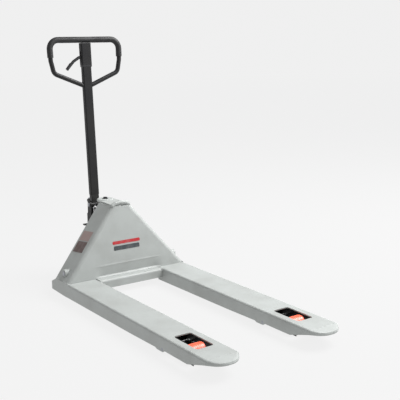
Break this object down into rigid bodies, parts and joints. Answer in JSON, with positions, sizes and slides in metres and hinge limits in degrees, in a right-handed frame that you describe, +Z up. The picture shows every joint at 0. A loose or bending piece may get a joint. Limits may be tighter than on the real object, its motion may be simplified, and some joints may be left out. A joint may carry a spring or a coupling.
{
  "type": "pallet jack",
  "caption": "Hand pallet truck with two grey forks, an A-shaped frame, orange load rollers, a dark hydraulic pump and a black tiller with a loop handle.",
  "frame": {"origin": "on the floor, under the middle of the truck's length and width", "axes": "+Z up, -Y towards the fork tips, +Y towards the tiller, +X to the right seen from the fork tips"},
  "size_m": [0.685, 1.676, 1.276],
  "materials": {
    "frame_paint": "satin powder coat",
    "crown_paint": "satin powder coat",
    "dark_paint": "satin black powder coat",
    "dark_casting": "painted casting",
    "ram_chrome": "polished hard chrome",
    "zinc_steel": "zinc plated",
    "load_tyre": "cast polyurethane, semi-gloss",
    "steer_tyre": "solid rubber",
    "wheel_hub": "cast",
    "grip_rubber": "soft matte",
    "lever_black": "moulded",
    "badge_red": "printed film",
    "label_brown": "printed film"
  },
  "bodies": {
    "chassis": {"left_side_plate": "frame_paint", "right_side_plate": "frame_paint", "shaft_sleeves": "frame_paint", "front_plate": "frame_paint", "crown": "crown_paint", "ram_socket": "zinc_steel", "lift_ram": "ram_chrome", "cross_member": "frame_paint", "left_fork": "frame_paint", "right_fork": "frame_paint", "left_nose": "frame_paint", "right_nose": "frame_paint", "heel_walls": "frame_paint", "fork_pins": "zinc_steel", "front_badge": "badge_red", "side_labels": "label_brown"},
    "left_entry_wheel": {"left_entry_roller": "lever_black"},
    "right_entry_wheel": {"right_entry_roller": "lever_black"},
    "rocker": {"rocker_shaft": "zinc_steel", "rocker_arms": "dark_paint"},
    "left_rod": {"left_push_rod": "dark_paint"},
    "right_rod": {"right_push_rod": "dark_paint"},
    "left_arm": {"left_roller_arm": "dark_paint", "left_arm_pins": "zinc_steel"},
    "right_arm": {"right_roller_arm": "dark_paint", "right_arm_pins": "zinc_steel"},
    "left_load_wheel": {"left_load_tyre": "load_tyre", "left_load_hub": "zinc_steel"},
    "right_load_wheel": {"right_load_tyre": "load_tyre", "right_load_hub": "zinc_steel"},
    "collar": {"thrust_collar": "dark_paint"},
    "pump_unit": {"wheel_carrier": "dark_casting", "steer_axle": "zinc_steel", "pump_block": "dark_casting", "oil_tank": "dark_paint", "lift_cylinder": "dark_paint", "ram_gland": "zinc_steel", "plunger_barrel": "dark_casting", "yoke_cheeks": "dark_paint", "tiller_pin": "zinc_steel", "pump_fittings": "zinc_steel"},
    "left_steer_wheel": {"left_steer_tyre": "steer_tyre", "left_steer_hub": "wheel_hub", "left_steer_bearings": "zinc_steel"},
    "right_steer_wheel": {"right_steer_tyre": "steer_tyre", "right_steer_hub": "wheel_hub", "right_steer_bearings": "zinc_steel"},
    "plunger": {"pump_plunger": "ram_chrome", "plunger_spring": "zinc_steel"},
    "release_valve": {"valve_lever": "zinc_steel"},
    "pedal": {"foot_pedal": "dark_paint"},
    "tiller": {"tiller_foot": "dark_casting", "tiller_pins": "zinc_steel", "tiller_tube": "dark_paint", "lever_housing": "dark_paint", "loop_frame": "dark_paint", "hand_grip": "grip_rubber"},
    "press_wheel": {"pressure_roller": "zinc_steel"},
    "hand_lever": {"control_lever": "lever_black"},
    "lever_rod": {"control_rod": "zinc_steel"}
  },
  "joints": [
    {"name": "lift", "type": "slide", "parent": "chassis", "child": "collar", "axis": [0, 0, -1], "range_m": [0, 0.115]},
    {"name": "rocker_swing", "type": "hinge", "parent": "chassis", "child": "rocker", "pos_m": [0, 0.454, 0.118], "axis": [-1, 0, 0], "range_deg": [0, 41.3]},
    {"name": "left_rod_slide", "type": "slide", "parent": "chassis", "child": "left_rod", "axis": [0, -1, 0], "range_m": [0, 0.043]},
    {"name": "left_arm_swing", "type": "hinge", "parent": "chassis", "child": "left_arm", "pos_m": [-0.2625, -0.483, 0.026], "axis": [1, 0, 0], "range_deg": [0, 61.1]},
    {"name": "left_load_wheel_spin", "type": "hinge", "parent": "left_arm", "child": "left_load_wheel", "pos_m": [-0.2625, -0.608, 0.037], "axis": [1, 0, 0], "continuous": true},
    {"name": "left_entry_wheel_spin", "type": "hinge", "parent": "chassis", "child": "left_entry_wheel", "pos_m": [-0.2625, -0.815, 0.062], "axis": [1, 0, 0], "continuous": true},
    {"name": "right_rod_slide", "type": "slide", "parent": "chassis", "child": "right_rod", "axis": [0, -1, 0], "range_m": [0, 0.043]},
    {"name": "right_arm_swing", "type": "hinge", "parent": "chassis", "child": "right_arm", "pos_m": [0.2625, -0.483, 0.026], "axis": [1, 0, 0], "range_deg": [0, 61.1]},
    {"name": "right_load_wheel_spin", "type": "hinge", "parent": "right_arm", "child": "right_load_wheel", "pos_m": [0.2625, -0.608, 0.037], "axis": [1, 0, 0], "continuous": true},
    {"name": "right_entry_wheel_spin", "type": "hinge", "parent": "chassis", "child": "right_entry_wheel", "pos_m": [0.2625, -0.815, 0.062], "axis": [1, 0, 0], "continuous": true},
    {"name": "steer", "type": "hinge", "parent": "collar", "child": "pump_unit", "pos_m": [0, 0.604, 0.2], "axis": [0, 0, 1], "range_deg": [-90, 90]},
    {"name": "left_steer_wheel_spin", "type": "hinge", "parent": "pump_unit", "child": "left_steer_wheel", "pos_m": [-0.037, 0.604, 0.09], "axis": [1, 0, 0], "continuous": true},
    {"name": "right_steer_wheel_spin", "type": "hinge", "parent": "pump_unit", "child": "right_steer_wheel", "pos_m": [0.037, 0.604, 0.09], "axis": [1, 0, 0], "continuous": true},
    {"name": "tiller_tilt", "type": "hinge", "parent": "pump_unit", "child": "tiller", "pos_m": [0, 0.726, 0.386], "axis": [-1, 0, 0], "range_deg": [0, 72], "stiffness_Nm_per_rad": 26, "springref_deg": -11.46},
    {"name": "plunger_stroke", "type": "slide", "parent": "pump_unit", "child": "plunger", "axis": [0, 0, -1], "range_m": [0, 0.0426], "deforming": ["plunger_spring"]},
    {"name": "press_wheel_spin", "type": "hinge", "parent": "tiller", "child": "press_wheel", "pos_m": [0, 0.758, 0.4035], "axis": [1, 0, 0], "continuous": true},
    {"name": "hand_lever_tilt", "type": "hinge", "parent": "tiller", "child": "hand_lever", "pos_m": [0.015, 0.76872, 1.17484], "axis": [0, 0.9985, -0.0541], "range_deg": [-12, 18], "stiffness_Nm_per_rad": 6},
    {"name": "lever_rod_slide", "type": "slide", "parent": "tiller", "child": "lever_rod", "axis": [0, 0.0541, 0.9985], "range_m": [-0.0033, 0.0048]},
    {"name": "release_valve_tilt", "type": "hinge", "parent": "pump_unit", "child": "release_valve", "pos_m": [0, 0.684, 0.288], "axis": [1, 0, 0], "range_deg": [-4.5, 6.6]},
    {"name": "pedal_press", "type": "hinge", "parent": "pump_unit", "child": "pedal", "pos_m": [0, 0.8, 0.2525], "axis": [-1, 0, 0], "range_deg": [0, 14], "stiffness_Nm_per_rad": 1, "springref_deg": -5.73}
  ],
  "couplings": [
    {"joint": "rocker_swing", "follows": "lift", "rad_per_m": 6.2528},
    {"joint": "left_rod_slide", "follows": "lift", "ratio": 0.37304},
    {"joint": "left_arm_swing", "follows": "lift", "rad_per_m": 9.2578},
    {"joint": "right_rod_slide", "follows": "lift", "ratio": 0.37304},
    {"joint": "right_arm_swing", "follows": "lift", "rad_per_m": 9.2578},
    {"joint": "plunger_stroke", "follows": "tiller_tilt", "m_per_rad": 0.0338},
    {"joint": "lever_rod_slide", "follows": "hand_lever_tilt", "m_per_rad": 0.015},
    {"joint": "release_valve_tilt", "follows": "hand_lever_tilt", "ratio": 0.361}
  ]
}
